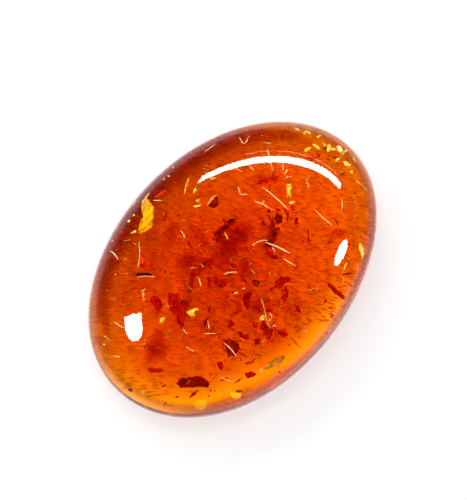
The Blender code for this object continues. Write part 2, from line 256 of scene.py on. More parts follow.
def connect(tree, *links):
    """Joins nodes. Each link is a node, its output, the node that it feeds and that node's input."""
    for source, output, target, place in links:
        tree.links.new(source.outputs[output], target.inputs[place])


def new_material(name):
    """A material with its node tree and its shader."""
    material = bpy.data.materials.new(name)
    material.use_nodes = True
    return material, material.node_tree, material.node_tree.nodes["Principled BSDF"]


def clear_material(name, bending):
    """A clear body with a perfect polish: plain transmission and an index of bending."""
    material, _, shader = new_material(name)
    set_inputs(shader, {"Base Color": WHITE, "Transmission Weight": 1.0, "Roughness": 0.0, "IOR": bending})
    return material


def absorbing(material, colour, density):
    """Fills a material's body with plain absorption, which leaves a colour."""
    tree = material.node_tree
    depth = add_node(tree, "VolumeAbsorption", values={"Color": (*colour, 1.0), "Density": density})
    connect(tree, (depth, "Volume", tree.nodes["Material Output"], "Volume"))
    return material


def stain_and_shade_material(name, colour, density):
    """Stained resin and painted shade in the resin: nothing but absorption, so it has no edge of its own."""
    material, tree, shader = new_material(name)
    tree.nodes.remove(shader)
    return absorbing(material, colour, density)


def tissue_material(name, dark, light, grain, roughness, bump, glow=0.0):
    """Sealed plant tissue: blotches and fine grain between a dark and a light colour, with a dull, uneven
    sheen. A little glow is painted light, for the light that the dome gathers under its near side."""
    material, tree, shader = new_material(name)
    place = add_node(tree, "TexCoord")
    blotches = add_node(tree, "TexNoise", values={"Scale": grain, "Detail": 5.0, "Roughness": 0.65})
    shade = add_node(tree, "ValToRGB")
    for stop, spot, colour in zip(shade.color_ramp.elements, (0.36, 0.64), (dark, light)):
        stop.position = spot
        stop.color = (*colour, 1.0)
    relief = add_node(tree, "Bump", values={"Strength": bump, "Distance": 0.00006})
    connect(tree, (place, "Object", blotches, "Vector"), (blotches, "Fac", shade, "Fac"),
            (blotches, "Fac", relief, "Height"), (shade, "Color", shader, "Base Color"),
            (relief, "Normal", shader, "Normal"))
    set_inputs(shader, {"Roughness": roughness, "Specular IOR Level": 0.08, "Emission Color": (*light, 1.0),
                        "Emission Strength": glow})
    return material


def gold_material(name, glow=0.0):
    """Thin yellow flakes that flash where they face the light: bright matte, a little metal, painted glow if
    given.
    """
    material = tissue_material(name, (1.0, 0.84, 0.35), (1.0, 1.0, 0.75), 3500.0, 0.25, 0.5)
    set_inputs(material.node_tree.nodes["Principled BSDF"], {
        "Metallic": 0.2, "Specular IOR Level": 0.5, "Emission Color": (1.0, 0.75, 0.2, 1.0),
        "Emission Strength": glow})
    return material


# Sealed tissues: each finish's material, dark and light colour, grain, roughness, bump, and glow of painted
# light if it has any
TISSUES = {
    "dark_red_scrap": ("dark_red_tissue", (0.26, 0.002, 0.001), (0.66, 0.008, 0.004), 2200.0, 0.45, 0.5),
    "light_red_scrap": ("light_red_tissue", (0.45, 0.012, 0.006), (0.95, 0.10, 0.04), 1800.0, 0.45, 0.5),
    "black_scrap": ("maroon_tissue", (0.10, 0.001, 0.001), (0.36, 0.004, 0.002), 2200.0, 0.4, 0.6),
    "husk": ("black_husk", (0.02, 0.004, 0.003), (0.16, 0.02, 0.01), 2200.0, 0.4, 0.6),
    # The seed husk glows: painted light for the light gathered under the near side
    "seed_husk": ("seed_husk", (0.30, 0.06, 0.03), (0.9, 0.62, 0.45), 1100.0, 0.5, 0.7, 0.08),
    "ripple": ("rippled_back", (0.64, 0.36, 0.16), (0.84, 0.60, 0.36), 1200.0, 0.6, 0.2),
    "pale_hair": ("pale_hair", (1.0, 0.76, 0.5), (1.0, 0.92, 0.74), 3000.0, 0.35, 0.2),
}
# Resin that absorbs: red stains, and painted shade along the far side and the rim. The colour that each
# leaves, and how strongly it absorbs the rest
STAINS_AND_PAINTED_SHADE = {
    "red_stain": ((0.72, 0.0, 0.0), 200.0),
    "far_side_stain": ((0.62, 0.0, 0.0), 180.0),
    "rim_shade": ((0.42, 0.3, 0.3), 160.0),
}
FINISHES = {name: tissue_material(*row) for name, row in TISSUES.items()}
FINISHES |= {name: stain_and_shade_material(name, *row) for name, row in STAINS_AND_PAINTED_SHADE.items()}
FINISHES["gold_scrap"] = gold_material("gold_flake")
# Gold under the near side glows: painted light for the light gathered there
FINISHES["gold_painted_glow"] = gold_material("gold_flake_near", GATHERED_GLOW)
FINISHES["clear_amber"] = absorbing(clear_material("clear_amber", AMBER_IOR), AMBER_COLOUR, AMBER_DENSITY)
FINISHES["sealed_air"] = clear_material("sealed_air", 1.0 / AMBER_IOR)


def stone_surface():
    """The whole stone as one grid of turns and shares, closed at the middle of its flat and at its crown.

    Shares run out over the flat, round the lower edge as a quarter turn, and back in over the dome."""
    turn = np.linspace(0.0, 2.0 * math.pi, STONE_SIDES, endpoint=False)
    flat = np.linspace(0.0, FLAT_SHARE, FLAT_RINGS)[1:]
    edge = np.linspace(0.0, math.pi / 2, EDGE_RINGS)[1:]
    dome = np.cos(np.linspace(0.0, math.pi / 2, DOME_RINGS)[1:-1])
    shares = np.concatenate([flat, FLAT_SHARE + (1.0 - FLAT_SHARE) * np.sin(edge), dome])
    heights = np.concatenate([np.zeros_like(flat), GIRDLE_HEIGHT * (1.0 - np.cos(edge)), dome_height(dome)])
    x, y = on_outline(shares[:, None], turn)
    z = np.broadcast_to(heights[:, None], x.shape)
    points = np.stack([x, y, z], axis=2).reshape(-1, 3)
    ends = np.array([[*MIDDLE, 0.0], [*MIDDLE, HEIGHT]])
    last = (len(shares) - 1) * STONE_SIDES
    corner = np.arange(last)
    side = np.arange(STONE_SIDES)
    next_side = (side + 1) % STONE_SIDES
    ahead = corner - corner % STONE_SIDES + (corner + 1) % STONE_SIDES
    walls = np.stack([corner, ahead, ahead + STONE_SIDES, corner + STONE_SIDES], axis=1)
    floor = np.stack([np.full_like(side, len(points)), next_side, side], axis=1)
    crown = np.stack([last + side, last + next_side, np.full_like(side, len(points) + 1)], axis=1)
    return np.vstack([points, ends]), walls.tolist() + floor.tolist() + crown.tolist()


def add_stone():
    """The clear stone, which stands for both halves of the parted solid."""
    stone = add_mesh("amber", *stone_surface(), FINISHES["clear_amber"])
    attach(stone, "root")
    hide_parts("amber_lower_half", "amber_upper_half")


def waves(points, wavelength, size, seed):
    """Smooth random moves: for each axis a sum of sine waves that run in random directions, each octave
    half as long and half as high as the last."""
    rng = np.random.default_rng(seed)
    moves = np.zeros_like(points)
    for octave in range(4):
        heading = rng.normal(size=(3, 3, 3))
        heading /= np.linalg.norm(heading, axis=2, keepdims=True)
        phase = rng.uniform(0.0, 2.0 * math.pi, size=(3, 3))
        angle = np.einsum("pk,abk->pab", points, heading) * (2.0 * math.pi * 2 ** octave / wavelength) + phase
        moves += np.sin(angle).mean(axis=2) * size / 2 ** octave
    return moves


def pulled_inside(points):
    """Draws points that lie nearer than the skin to the wall, the flat or the dome back into the resin."""
    points = points.copy()
    share = outline_share(points[:, 0], points[:, 1])
    inward = np.where(share > WALL_SHARE, WALL_SHARE / np.maximum(share, 1e-6), 1.0)
    points[:, :2] = MIDDLE + (points[:, :2] - MIDDLE) * inward[:, None]
    ceiling = dome_height(np.minimum(share, WALL_SHARE)) - SKIN
    points[:, 2] = np.clip(points[:, 2], SKIN + np.where(share > EDGE_SHARE, EDGE_LIFT, 0.0), ceiling)
    return points


def joined(name, parts, finish, smooth=True):
    """Joins small closed shapes, each a pair of points and faces, into one sealed piece."""
    starts = np.cumsum([0] + [len(points) for points, _ in parts[:-1]])
    points = pulled_inside(np.vstack([points for points, _ in parts]))
    faces = [face for start, (_, rows) in zip(starts, parts) for face in (rows + start).tolist()]
    piece = add_mesh(name, points, faces, FINISHES[finish], smooth)
    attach(piece, "root")


# How a scrap is torn and curled: the cuts of each edge, and the lengths of the curl's and the tear's waves
SCRAP_CUTS, CURL_LENGTH, TEAR_LENGTH = 4, 3.2, 0.55
node_slots = {part["node"]: part["material_slot"] for part in frame["record"]["subparts"]}
# Scraps that are darker than the rest of their slot, a seed, and gold with a painted glow for the gathered
# light
SCRAP_FINISHES = {"leaf_scrap_large": "black_scrap", "bark_chip_top": "black_scrap",
                  "bark_chip_high": "black_scrap", "twig": "dark_red_scrap", "husk_seed": "husk",
                  "gold_rim_round": "gold_painted_glow", "gold_rim_green": "gold_painted_glow"}


def sealed_scrap(node, thinning, torn, curl, seed):
    """A torn, curled flake from a sealed solid: a merged copy, cut fine, thinned about its middle sheet,
    and moved by long waves (the curl) and short waves (the torn edge)."""
    shape = bmesh.new()
    shape.from_mesh(node.data)
    bmesh.ops.remove_doubles(shape, verts=shape.verts, dist=1e-6)
    bmesh.ops.subdivide_edges(shape, edges=shape.edges, cuts=SCRAP_CUTS, use_grid_fill=True)
    mesh = bpy.data.meshes.new(node.name + "_torn")
    shape.to_mesh(mesh)
    shape.free()
    flat = np.empty(len(mesh.vertices) * 3)
    mesh.vertices.foreach_get("co", flat)
    points = flat.reshape(-1, 3) / MM
    middle = points.mean(axis=0)
    sheet = np.linalg.svd(points - middle, full_matrices=False)[2][2]
    points -= ((points - middle) @ sheet)[:, None] * sheet * (1.0 - thinning)
    points += waves(points, CURL_LENGTH, curl, seed) + waves(points, TEAR_LENGTH, torn, seed + 1)
    mesh.vertices.foreach_set("co", (pulled_inside(points) * MM).ravel())
    mesh.polygons.foreach_set("use_smooth", np.full(len(mesh.polygons), True))
    mesh.materials.append(FINISHES[SCRAP_FINISHES.get(node.name, node_slots[node.name])])
    mesh.update()
    piece = bpy.data.objects.new(node.name + "_torn", mesh)
    bpy.context.scene.collection.objects.link(piece)
    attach(piece, "root")
    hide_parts(node.name)


def add_scraps():
    """Every sealed solid as a torn flake; the seed and the twig keep their round bodies."""
    round_bodies = {"seed_capsule", "husk_seed", "twig"}
    for seed, (name, slot) in enumerate(sorted(node_slots.items())):
        if slot == "amber":
            continue
        thinning, torn, curl = (1.0, 0.03, 0.03) if name in round_bodies else (0.45, 0.09, 0.07)
        sealed_scrap(frame["nodes"][name], thinning, torn, curl, 100 + 2 * seed)


def ring_faces(count, sides):
    """The faces of a body of rings, whose two last points close it at its first and its last ring."""
    last = (count - 1) * sides
    near = np.arange(last)
    ahead = near - near % sides + (near + 1) % sides
    side = np.arange(sides)
    next_side = (side + 1) % sides
    end = np.full(sides, count * sides)
    return np.vstack([np.stack([near, near + sides, ahead + sides], axis=1),
                      np.stack([near, ahead + sides, ahead], axis=1),
                      np.stack([end, side, next_side], axis=1),
                      np.stack([end + 1, last + next_side, last + side], axis=1)])


# A chip: its corners, how far it tips, how far each corner reaches past or short of its oval, the share of
# its raised rings, and how far it bows
CHIP_CORNERS, CHIP_TIP, CHIP_TEARS, CHIP_TOP, CHIP_BOW = 11, 0.2, (-0.32, 0.18), 0.6, 0.25
# A hair: its sides, how soon it swells from its ends, and its thickness there as a share
HAIR_SIDES, HAIR_TAPER, HAIR_END = 5, 0.3, 0.2
# The faces of a body with six corners: four round its middle, then one above and one below
SIX_CORNERS = np.array([[0, 1, 4], [1, 2, 4], [2, 3, 4], [3, 0, 4],
                        [1, 0, 5], [2, 1, 5], [3, 2, 5], [0, 3, 5]])


def chip(start, end, width, thick, rng, lean=0.0):
    """A small torn chip between two points: a ring of uneven reach round its line, with a raised ring above
    and below, closed at the middle of both faces. Its face leans towards the far light by a share of the
    upright."""
    along = end - start
    length = np.linalg.norm(along)
    along = along / max(length, 1e-6)
    up = np.array([0.0, 0.0, 1.0]) + AWAY * lean + rng.normal(size=3) * CHIP_TIP
    across = np.cross(up, along)
    across /= np.linalg.norm(across)
    up = np.cross(along, across)
    turn = np.linspace(0.0, 2.0 * math.pi, CHIP_CORNERS, endpoint=False)
    turn += rng.uniform(-0.2, 0.2, CHIP_CORNERS)
    reach = 1.0 + rng.uniform(*CHIP_TEARS, CHIP_CORNERS)
    rim = np.stack([np.cos(turn) * reach * length / 2, np.sin(turn) * reach * width / 2, 0.0 * turn], axis=1)
    inner = rim * CHIP_TOP
    lift = np.array([0.0, 0.0, thick / 2])
    local = np.vstack([inner + lift, rim, inner - lift, lift, -lift])
    local[:, 2] += rng.uniform(-CHIP_BOW, CHIP_BOW) * (local[:, 0] ** 2) / max(length, 1e-6)
    points = (start + end) / 2 + local[:, :1] * along + local[:, 1:2] * across + local[:, 2:] * up
    return points, ring_faces(3, CHIP_CORNERS)


def level_across(path):
    """The directions along a path, and level across it."""
    ahead = np.gradient(path, axis=0)
    ahead /= np.linalg.norm(ahead, axis=1, keepdims=True)
    across = np.cross(ahead, [0.0, 0.0, 1.0])
    return ahead, across / np.maximum(np.linalg.norm(across, axis=1, keepdims=True), 1e-6)


def tube(path, across, up, sides):
    """Oval rings along a path, each with its own two half axes, closed at the path's ends."""
    turn = np.linspace(0.0, 2.0 * math.pi, sides, endpoint=False)[None, :, None]
    rings = path[:, None, :] + np.cos(turn) * across[:, None, :] + np.sin(turn) * up[:, None, :]
    return np.vstack([rings.reshape(-1, 3), path[:1], path[-1:]]), ring_faces(len(path), sides)


def strand(path, thick):
    """A hair along a path: round rings that taper to points at both ends."""
    ahead, across = level_across(path)
    share = np.linspace(0.0, 1.0, len(path))
    radius = (thick / 2 * np.clip(np.sin(math.pi * share) ** HAIR_TAPER, HAIR_END, 1.0))[:, None]
    return tube(path, across * radius, np.cross(across, ahead) * radius, HAIR_SIDES)


def speck(place, size, rng):
    """A grain: an eight-sided body with uneven reach along its own axes."""
    points = np.array([[1, 0, 0], [0, 1, 0], [-1, 0, 0], [0, -1, 0], [0, 0, 1], [0, 0, -1]], dtype=float)
    points *= size / 2 * rng.uniform(0.5, 1.3, size=(6, 1)) * np.array([1.4, 0.8, 0.6])
    turn = np.linalg.qr(rng.normal(size=(3, 3)))[0]
    turn *= np.sign(np.linalg.det(turn))
    return place + points @ turn.T, SIX_CORNERS


def smooth_path(corners, count):
    """A soft line through given corners: each stretch is a Hermite curve with the slopes of its neighbours."""
    corners = np.asarray(corners, dtype=float)
    slopes = np.gradient(corners, axis=0)
    spot = np.linspace(0.0, len(corners) - 1.0, count)
    piece = np.minimum(spot.astype(int), len(corners) - 2)
    t = (spot - piece)[:, None]
    first, second = corners[piece], corners[piece + 1]
    return ((2 * t ** 3 - 3 * t ** 2 + 1) * first + (t ** 3 - 2 * t ** 2 + t) * slopes[piece]
            + (3 * t ** 2 - 2 * t ** 3) * second + (t ** 3 - t ** 2) * slopes[piece + 1])


# Small chips, each from one end to the other in the photograph's pixels, its width in pixels, and its depth
# under the dome in millimetres
RED_CHIPS = (
    ((256, 184), (266, 178), 4, 1.6), ((264, 181), (279, 177), 3.4, 1.4),
    ((259, 177), (269, 184), 2.6, 1.8), ((261, 226), (264, 219), 4, 2.4), ((277, 229), (281, 228), 3, 2.4),
    ((324, 304), (327, 298), 2.6, 2), ((326, 242), (333, 242), 1.8, 2), ((348, 244), (352, 244), 1.8, 1.5),
    ((162.7, 275.7), (169.4, 266.7), 2, 1.8), ((151, 254), (157, 252), 2, 2),
    ((223, 299), (230, 295), 2.2, 2.2), ((208, 312), (211, 306), 3, 2.4),
    ((220, 381), (228, 377), 3.2, 1.6), ((234, 384), (243, 377), 2.2, 1.6), ((235, 392), (243, 391), 3, 1),
    ((189, 398), (199, 389.5), 3.4, 1.2), ((175, 397), (179, 397), 2.2, 1.2),
    ((160.6, 387), (166.7, 384.6), 2.6, 1.4), ((163, 407), (167, 400), 1.6, 1),
    ((177, 214), (180, 215), 2.6, 1.4), ((163, 221), (167, 214), 3.6, 2.2),
    ((177, 230), (185, 237), 2.4, 1.6), ((347, 176), (338, 172), 2, 1.4),
    ((277.5, 302), (280, 302.5), 2.6, 2), ((308, 287), (310.5, 287), 2.6, 2),
    ((174, 365), (176.5, 365.5), 2.4, 1.8), ((137, 370), (139.5, 370), 2.4, 1.6),
    ((209.4, 390.6), (212, 390.6), 2.4, 1.4), ((278, 372), (281, 372), 2.4, 1.4),
    ((145, 370), (164, 371), 4.2, 3.4), ((262.5, 139), (262.5, 132), 1.8, 1),
    ((275.5, 139), (275.5, 133), 1.8, 1), ((282, 140), (282, 132), 1.8, 1),
    ((268, 138), (272, 137), 2.4, 1), ((225, 345), (233, 339), 3.4, 1.8), ((297, 306), (300, 313), 4, 3.2),
    ((152, 300), (158, 309), 3.2, 2.6), ((163, 302), (159, 312), 3.2, 2.4),
    ((170, 300), (176, 309), 3, 2.6), ((196, 250), (203, 256), 3, 3), ((187, 240), (193, 251), 3.6, 3.4),
    ((207, 262), (212, 270), 3.4, 3.2), ((236, 226), (243, 234), 3.6, 3),
    ((222, 218), (229, 226), 3.4, 3.2), ((243, 246), (250, 252), 3, 2.8),
    ((266, 213), (272, 222), 3.2, 1.6), ((274, 207), (281, 212), 2.8, 1.6),
    ((284, 207), (287, 216), 2.4, 1.6), ((260, 221), (268, 227), 2.6, 1.8),
    ((291, 205), (294, 211), 2.2, 1.6), ((270, 226), (275, 231), 2.4, 1.8),
    ((213, 233), (220, 238), 3.2, 3.2), ((229, 262), (238, 268), 3.6, 3), ((240, 276), (247, 283), 3.4, 3),
)
BROWN_CHIPS = (
    ((340, 275), (353, 273), 2, 1.2), ((330, 317.5), (334, 315.5), 2.6, 1.6),
    ((128, 389), (133, 391), 4.4, 1.2), ((357, 219), (359, 219), 2.4, 1), ((354, 193), (356, 193), 2.4, 1),
    ((323, 150), (329, 146), 3, 1.2), ((333, 156), (339, 160), 3, 1.2), ((341, 147), (345, 153), 3, 1),
    ((326, 158), (331, 161), 2.6, 1.4), ((345, 157), (349, 162), 2.4, 1),
    ((316, 153), (321, 157), 2.6, 1.4),
)
GOLD_CHIPS = (
    ((303, 135), (307, 130), 3, 0.8), ((306, 131), (311, 134), 3, 0.8), ((305, 151), (312, 147), 3.8, 1),
    ((312, 144), (320, 149), 4, 1), ((328, 152), (330, 144), 4.4, 0.9), ((331, 149), (336, 149), 5, 0.8),
    ((337, 149), (344, 141), 6, 0.6), ((340, 155), (348, 149), 3, 0.8), ((343, 162), (350.6, 166), 6, 0.7),
    ((350, 172), (353, 172), 4.2, 0.8), ((355, 179), (361, 185), 2, 0.8),
    ((362, 186), (368, 191), 1.8, 0.8), ((133, 206), (137, 200), 3.6, 0.7),
    ((133, 215), (135, 215), 2.6, 0.8), ((127.5, 221), (130.5, 221), 3, 0.8),
    ((131, 233), (137, 231), 3.2, 0.8), ((145, 199), (150, 192), 2.4, 0.8),
    ((167.5, 176), (169.5, 176), 2.2, 0.5), ((163, 179), (165, 179), 2.2, 0.5),
    ((172, 167), (174, 167), 2.2, 0.5), ((214, 138), (216, 138), 2, 0.5),
    ((111.5, 240.6), (113.5, 240.6), 2.2, 0.5), ((195, 201.5), (200, 199.5), 2.6, 0.8),
    ((193, 207), (202, 205), 3, 0.8), ((289, 203), (295, 202), 4, 0.8),
    ((233.6, 294), (238, 291.7), 2.4, 0.8), ((242, 289.5), (245, 288), 2, 0.7),
    ((259.7, 320), (264.8, 316), 4.6, 0.8), ((343, 270), (347, 262), 2.4, 0.8),
    ((209, 179), (216, 178), 2, 1), ((261.6, 202.5), (265.4, 201.5), 2, 1),
    ((224.5, 232.5), (228.3, 239.2), 2, 1.4), ((338, 145), (346, 143), 5, 0.6),
    ((322, 143), (326, 147), 3.6, 0.8), ((335, 161), (340, 158), 3.4, 0.8),
    ((352, 157), (356, 163), 2.4, 0.7), ((316, 138), (321, 135), 2, 0.7),
    ((296, 128), (300, 131), 1.8, 0.7),
)
# Gold chips under the near side, which glow with painted light
NEAR_GOLD_CHIPS = (((360.5, 243), (362.5, 258), 5.5, 0.8), ((282, 392), (287, 389), 2.4, 0.8))
# The chips' thickness in millimetres, and how far gold leans towards the far light
CHIP_THICK, GOLD_THICK, GOLD_LEAN = 0.12, 0.06, 0.17
# Hairs, each a row of corners in the photograph's pixels, its depth under the dome and its thickness, and
# by how much all of them are thickened and raised
HAIRS = (
    (((262.5, 187), (275, 197), (288, 209)), 0.8, 0.13),
    (((254.4, 201), (264, 205), (273, 210)), 0.8, 0.12),
    (((237.7, 186.6), (241, 194.2), (247.2, 194.2)), 0.8, 0.11),
    (((283.6, 178.9), (288, 176.6), (292, 177)), 0.8, 0.1),
    (((267.7, 148.5), (270, 160), (273, 171.5)), 0.5, 0.1), (((234, 167), (242, 172)), 0.7, 0.09),
    (((249.6, 166.5), (254.4, 171)), 0.7, 0.1), (((282, 163.6), (283.6, 167.4), (282, 171.2)), 0.6, 0.1),
    (((284.5, 174), (287.4, 169.3)), 0.6, 0.1),
    (((238.6, 136.8), (244.4, 143.6), (249.1, 135.8)), 0.5, 0.1),
    (((263.5, 142.5), (271, 143.5)), 0.5, 0.1), (((204.4, 152), (215.9, 144)), 0.5, 0.12),
    (((153.7, 200.4), (162.3, 200.7)), 0.6, 0.12),
    (((109.7, 250.7), (114, 253.5), (118.3, 260)), 0.4, 0.14),
    (((139, 242), (139.8, 255), (138, 268)), 0.9, 0.1),
    (((145.3, 288.6), (142, 291.6), (144, 294), (141.7, 296.7)), 0.9, 0.1),
    (((114.2, 322.2), (123.9, 327.9)), 0.7, 0.1), (((224, 274.5), (230, 272.4), (237.4, 272.3)), 0.9, 0.12),
    (((198, 277), (200, 282), (201, 287)), 0.9, 0.1),
    (((252, 245.5), (260.4, 240.7), (268.7, 240.7)), 0.8, 0.11),
    (((265.5, 242.3), (278, 247), (291, 253.8)), 0.6, 0.17), (((272.5, 247.4), (275, 252.2)), 0.7, 0.1),
    (((282.7, 258.2), (295.5, 265.9)), 0.8, 0.11), (((315, 209.5), (322, 217), (333.3, 226.7)), 0.8, 0.14),
    (((341.5, 198), (342.4, 205), (341.5, 211)), 0.8, 0.1),
    (((224, 342.7), (231, 349), (236.5, 356.7)), 0.7, 0.13), (((182.9, 328.9), (187.4, 334.3)), 0.8, 0.11),
    (((220, 377), (232, 382)), 0.6, 0.11), (((207.8, 320), (208.4, 325), (209.7, 329.5)), 0.8, 0.1),
    (((204, 333.5), (216, 333.5)), 0.8, 0.09),
    (((261, 297.4), (263.6, 305.7), (267.4, 322.3), (270.6, 328.7)), 0.9, 0.08),
    (((269.3, 312.4), (272, 317), (268, 321)), 0.8, 0.09),
    (((258.6, 371), (260.6, 369), (262.7, 371), (260.6, 373)), 0.8, 0.1),
    (((103.5, 335.5), (109.6, 339.6)), 0.5, 0.1), (((103, 344), (106, 345.4)), 0.5, 0.1),
    (((114, 356), (120, 357)), 0.6, 0.1), (((207, 206), (211, 199.6), (217, 194)), 0.9, 0.1),
    (((180.5, 229.6), (185.3, 238.2)), 0.8, 0.1), (((137, 277.5), (146, 276), (156, 277)), 0.9, 0.09),
    (((186, 347), (195, 352)), 0.9, 0.09),
)
HAIR_BOLDNESS = 1.2
HAIR_DEPTH_SHARE = 0.45
DARK_HAIRS = (
    (((290, 336.5), (300.4, 348.3)), 1.4, 0.1), (((238, 351.6), (247.6, 357.7)), 1.4, 0.14),
    (((199, 215), (205, 222)), 1.6, 0.1), (((245, 300), (252, 308)), 1.8, 0.1),
)
# Bubbles, each with its place in pixels and its width in millimetres, and their depth under the dome
BUBBLES = (
    ((210.6, 157.8), 0.26), ((186.2, 173.6), 0.24), ((161.3, 215.3), 0.26), ((207.3, 224.8), 0.24),
    ((266.4, 166), 0.22), ((205.4, 170), 0.26), ((208.6, 396.2), 0.26), ((98.4, 294.7), 0.22),
    ((154.6, 238), 0.24), ((270.9, 325.2), 0.24), ((361, 206), 0.3), ((361, 237), 0.3),
)
BUBBLE_DEPTH = 0.5
# The red stains: middle in pixels, height in the stone, half length and half width in pixels, half height
# in millimetres, and turn in degrees. The first two are broad and faint.
STAINS = (
    ((214, 266), 3.6, 82, 56, 0.16, 48), ((150, 268), 3.8, 46, 20, 0.3, 64),
    ((228, 247), 4.4, 21, 15, 1.3, 64), ((237, 237), 4.6, 17, 13, 1.5, 30),
    ((243, 268), 4.2, 11, 7, 1.1, 80), ((226, 242), 4.4, 9, 7, 1.2, 50), ((236, 230), 4.6, 9, 7, 1.2, 20),
    ((189, 262), 4.4, 12, 7, 1.9, 8), ((203, 262), 4.4, 6, 4, 0.8, 0), ((156, 345), 4.2, 13, 10, 1.5, 65),
    ((200, 238), 4.2, 15, 6, 0.8, -52), ((262, 306), 4.2, 13, 8, 0.7, 30),
    ((183, 315), 4.2, 12, 9, 0.5, -60), ((228, 347), 4, 12, 7, 0.6, -30), ((337, 233), 4.4, 12, 5, 0.5, 4),
    ((297, 307), 4, 6, 8, 0.5, 0), ((266, 180), 4.6, 17, 6, 0.5, 8), ((172, 232), 4.4, 7, 15, 0.6, -30),
    ((240, 303), 4, 10, 8, 0.4, 0), ((271, 334), 4.2, 12, 9, 0.5, -30), ((208, 326), 4.2, 10, 8, 0.4, 0),
)
BROAD_STAINS = 2
STAIN_LAYERS = (1.3, 1.1, 0.9, 0.7, 0.48)
# Painted shade, as two bands of darker resin: the dark crescent along the far side and the darker rim
# elsewhere.
# Each one's slot, its share of the outline, its height in the stone, its turns on the outline, its half
# height in millimetres and its half widths in pixels
BANDS = {
    "far_side_stain": ("dark_red_scrap", 0.835, 2.6, (12.0, 158.0), 1.1,
                       (4.0, 8.0, 11.0, 12.0, 11.0, 7.0, 3.0)),
    "rim_shade": ("amber", 0.896, 2.3, (30.0, -210.0), 0.9, (2.4, 3.2, 4.0, 4.4, 3.6, 3.0, 2.4)),
}
# The ripple of the back, in millimetres: the way from row to row and along a row, how far a lens strays
# along and across its row, how high the lenses lie and how far that varies, and their half thickness
RIPPLE_PITCH, RIPPLE_STEP = 0.32, 1.05
RIPPLE_STRAY_ALONG, RIPPLE_STRAY_ACROSS = 0.35, 0.07
RIPPLE_HEIGHT, RIPPLE_RISE, RIPPLE_THICK = 0.3, 0.06, 0.03
# The shares of the outline where the ripple ends: all round, and between two limits under the near side
RIPPLE_END, RIPPLE_NEAR_ENDS = 0.86, (0.45, 0.65)


def chips_of(rows, thick, seed, lean=0.0):
    """Chips at their places under the dome, from rows of two ends, a width and a depth."""
    rng = np.random.default_rng(seed)
    depths = [row[3] for row in rows]
    starts = sight([row[0] for row in rows], depths=depths)
    ends = sight([row[1] for row in rows], depths=depths)
    return [chip(start, end, row[2] * MM_PER_PIXEL, thick, rng, lean)
            for start, end, row in zip(starts, ends, rows)]


def strands_of(rows, seed):
    """Hairs along their soft paths under the dome, each with a slight wander of its own."""
    strands = []
    for place, (corners, depth, thick) in enumerate(rows):
        path = sight(smooth_path(corners, 12), depths=np.full(12, depth * HAIR_DEPTH_SHARE))
        path += waves(path, 2.4, 0.012, seed + place)
        strands.append(strand(path, thick * HAIR_BOLDNESS))
    return strands


def scattered(count, depths, seed, centre=None, spread=None):
    """Random places in the stone: over its whole plan, or gathered about a middle seen at a pixel."""
    rng = np.random.default_rng(seed)
    if centre is None:
        reach, turn = np.sqrt(rng.uniform(0.0, 0.9, count)), rng.uniform(0.0, 2.0 * math.pi, count)
        x = MIDDLE[0] + HALF_AXES[0] * reach * np.cos(turn)
        y = MIDDLE[1] + HALF_AXES[1] * reach * np.sin(turn)
        z = dome_height(outline_share(x, y)) - rng.uniform(*depths, count)
        return np.stack([x, y, z], axis=1), rng
    pixels = np.asarray(centre) + rng.normal(size=(count, 2)) * spread
    return sight(pixels, depths=rng.uniform(*depths, count)), rng


def add_crumbs():
    """Torn crumbs: some by every red scrap, where it shed them, and some loose in the middle of the
    stone."""
    rng = np.random.default_rng(77)
    corners = [np.array(frame["nodes"][name].data.vertices[0].co) / MM
               for name, slot in sorted(node_slots.items()) if slot in ("dark_red_scrap", "light_red_scrap")]
    places = [corner + rng.normal(size=3) * np.array([0.9, 0.9, 0.25])
              for corner in corners for _ in range(3)]
    loose, _ = scattered(110, (1.0, 3.2), 78, centre=(236, 300), spread=(60, 48))
    parts = []
    for place in np.vstack([places, loose]):
        heading = rng.normal(size=3) * np.array([1.0, 1.0, 0.25])
        heading *= rng.uniform(0.2, 0.55) / np.linalg.norm(heading)
        width = rng.uniform(0.06, 0.22)
        parts.append(chip(place - heading / 2, place + heading / 2, width, thick=0.08, rng=rng))
    joined("crumbs", parts, "dark_red_scrap", smooth=False)


def grains(count, depths, sizes, seed, centre=None, spread=None):
    """Grains between two sizes at random places."""
    places, rng = scattered(count, depths, seed, centre, spread)
    return [speck(place, size, rng) for place, size in zip(places, rng.uniform(*sizes, len(places)))]


def add_specks():
    """Grains all through the stone, thicker in the red stains, and short fine hairs at every turn."""
    red = grains(150, (0.6, 5.0), (0.05, 0.16), 11)
    for number, (middle, _, half_length, half_width, _, _) in enumerate(STAINS[BROAD_STAINS:]):
        red += grains(22, (1.5, 4.5), (0.06, 0.3), 30 + number, middle, (half_length * 0.6, half_width * 0.9))
    joined("red_grains", red, "dark_red_scrap", smooth=False)
    gold = grains(170, (0.4, 1.6), (0.05, 0.16), 12)
    joined("gold_grains", gold, "gold_scrap", smooth=False)
    places, rng = scattered(70, (0.2, 1.2), 13)
    headings = rng.normal(size=(len(places), 3)) * np.array([1.0, 1.0, 0.3])
    headings /= np.linalg.norm(headings, axis=1, keepdims=True)
    lengths = rng.uniform(0.3, 1.0, len(places))
    parts = []
    for number, (place, heading, length) in enumerate(zip(places, headings, lengths)):
        path = place + np.linspace(-0.5, 0.5, 7)[:, None] * heading * length
        parts.append(strand(path + waves(path, 2.0, 0.04, 400 + number), rng.uniform(0.04, 0.08)))
    joined("fine_hairs", parts, "pale_hair")


